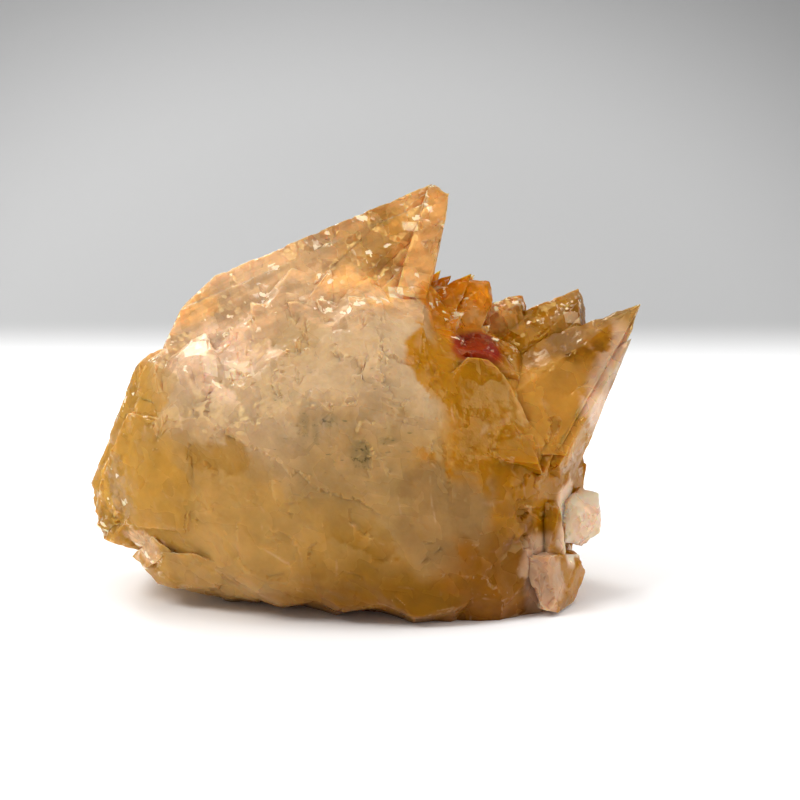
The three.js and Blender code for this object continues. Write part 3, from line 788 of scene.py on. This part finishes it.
def build_sweep(stage):
    """A floor that bends up into a backdrop, in one sheet."""
    select_none()
    depth = stage.sweep_front + stage.sweep_back
    middle = (stage.sweep_back - stage.sweep_front) / 2
    bpy.ops.mesh.primitive_plane_add(size=1, location=(0, middle, 0))
    sweep = bpy.context.object
    sweep.name = "studio_sweep"
    sweep.scale = (stage.sweep_width, depth, 1)
    bpy.ops.object.transform_apply(location=True, rotation=True, scale=True)
    mesh = sweep.data
    for edge in mesh.edges:
        edge.select = all(mesh.vertices[v].co.y > stage.sweep_back - MM for v in edge.vertices)
    for vertex in mesh.vertices:
        vertex.select = vertex.co.y > stage.sweep_back - MM
    for face in mesh.polygons:
        face.select = False
    bpy.context.tool_settings.mesh_select_mode = (False, True, False)
    bpy.ops.object.mode_set(mode="EDIT")
    bpy.ops.mesh.spin(
        steps=24,
        angle=-math.pi / 2,
        center=(0, stage.sweep_back, stage.sweep_bend),
        axis=(1, 0, 0),
    )
    bpy.ops.mesh.extrude_region_move(TRANSFORM_OT_translate={"value": (0, 0, stage.sweep_rise)})
    bpy.ops.mesh.select_all(action="SELECT")
    bpy.ops.mesh.remove_doubles(threshold=MM)
    bpy.ops.object.mode_set(mode="OBJECT")
    bpy.ops.object.shade_smooth()
    mesh.materials.append(sweep_material())


# Each soft box: its name, its place and what it faces in metres, its width in metres and its watts.
LAMPS = (
    ("key_soft_box", (-0.55, -0.4, 0.75), (0, 0, 0.04), 0.35, 5),
    ("top_soft_box", (0.0, 0.15, 1.1), (0, 0, 0), 1.2, 7),
    ("back_soft_box", (-0.35, 0.5, 0.55), (0, 0, 0.05), 0.3, 3),
    ("side_soft_box", (0.8, -0.15, 0.35), (0, 0, 0.04), 0.5, 3),
)


def add_lamp(name, place, aim, width, watts):
    """A square soft box at place that faces aim."""
    select_none()
    bpy.ops.object.light_add(type="AREA", location=place)
    lamp = bpy.context.object
    lamp.name = name
    lamp.data.shape = "SQUARE"
    lamp.data.size = width
    lamp.data.energy = watts
    lamp.rotation_euler = (Vector(aim) - Vector(place)).to_track_quat("-Z", "Y").to_euler()


def fill_air(strength):
    """Even white light from all round."""
    world = bpy.data.worlds.new("studio_air")
    world.use_nodes = True
    background = world.node_tree.nodes["Background"]
    background.inputs["Color"].default_value = (1, 1, 1, 1)
    background.inputs["Strength"].default_value = strength
    bpy.context.scene.world = world


# The height that the camera is aimed at, and how far it then moves to its right and up. The sensor
# is in the camera's own mm.
AIM_HEIGHT = 42 * MM
MOVE_RIGHT = 7.86 * MM
MOVE_UP = 1.02 * MM
SENSOR = 36


def add_camera(stage):
    """The camera, moved from its aim so that the specimen stands a little left of the middle."""
    aim = Vector((0, 0, AIM_HEIGHT))
    ahead = Vector((0, math.cos(stage.camera_rise), -math.sin(stage.camera_rise)))
    up = Vector((0, math.sin(stage.camera_rise), math.cos(stage.camera_rise)))
    side = Vector((1, 0, 0))
    place = aim - ahead * stage.camera_distance + side * MOVE_RIGHT + up * MOVE_UP
    select_none()
    bpy.ops.object.camera_add(location=place, rotation=ahead.to_track_quat("-Z", "Y").to_euler())
    camera = bpy.context.object
    camera.name = "studio_camera"
    camera.data.sensor_width = SENSOR
    camera.data.lens = SENSOR * stage.camera_distance / stage.picture_width
    camera.data.clip_start = 10 * MM
    bpy.context.scene.camera = camera


class CALCITE_OT_set_stage(bpy.types.Operator):
    """Sets the pale sweep, the soft studio light and the camera"""

    bl_idname = "calcite.set_stage"
    bl_label = "Set Stage"

    def execute(self, context):
        stage = context.scene.calcite_stage
        build_sweep(stage)
        for lamp in LAMPS:
            add_lamp(*lamp)
        fill_air(stage.air_light)
        context.scene.view_settings.view_transform = "Standard"
        add_camera(stage)
        return {"FINISHED"}


class CALCITE_PT_panel(bpy.types.Panel):
    """Lists the specimen's sizes, finish, colours, stage and operators"""

    bl_label = "Golden Calcite"
    bl_space_type = "VIEW_3D"
    bl_region_type = "UI"
    bl_category = "Calcite"

    def draw(self, context):
        for group in ("calcite_sizes", "calcite_finish", "calcite_colours", "calcite_stage"):
            box = self.layout.box()
            values = getattr(context.scene, group)
            for name in values.__annotations__:
                box.prop(values, name)
        for operator in (CALCITE_OT_grow_cluster, CALCITE_OT_set_stage):
            self.layout.operator(operator.bl_idname)


CLASSES = (
    CalciteSizes,
    CalciteColours,
    CalciteFinish,
    CalciteStage,
    CALCITE_OT_grow_cluster,
    CALCITE_OT_set_stage,
    CALCITE_PT_panel,
)


def register():
    for made in CLASSES:
        bpy.utils.register_class(made)
    bpy.types.Scene.calcite_sizes = PointerProperty(type=CalciteSizes)
    bpy.types.Scene.calcite_colours = PointerProperty(type=CalciteColours)
    bpy.types.Scene.calcite_finish = PointerProperty(type=CalciteFinish)
    bpy.types.Scene.calcite_stage = PointerProperty(type=CalciteStage)


def unregister():
    del bpy.types.Scene.calcite_stage
    del bpy.types.Scene.calcite_finish
    del bpy.types.Scene.calcite_colours
    del bpy.types.Scene.calcite_sizes
    for made in reversed(CLASSES):
        bpy.utils.unregister_class(made)


def main():
    register()
    bpy.ops.calcite.grow_cluster()
    bpy.ops.calcite.set_stage()


if __name__ == "__main__":
    main()
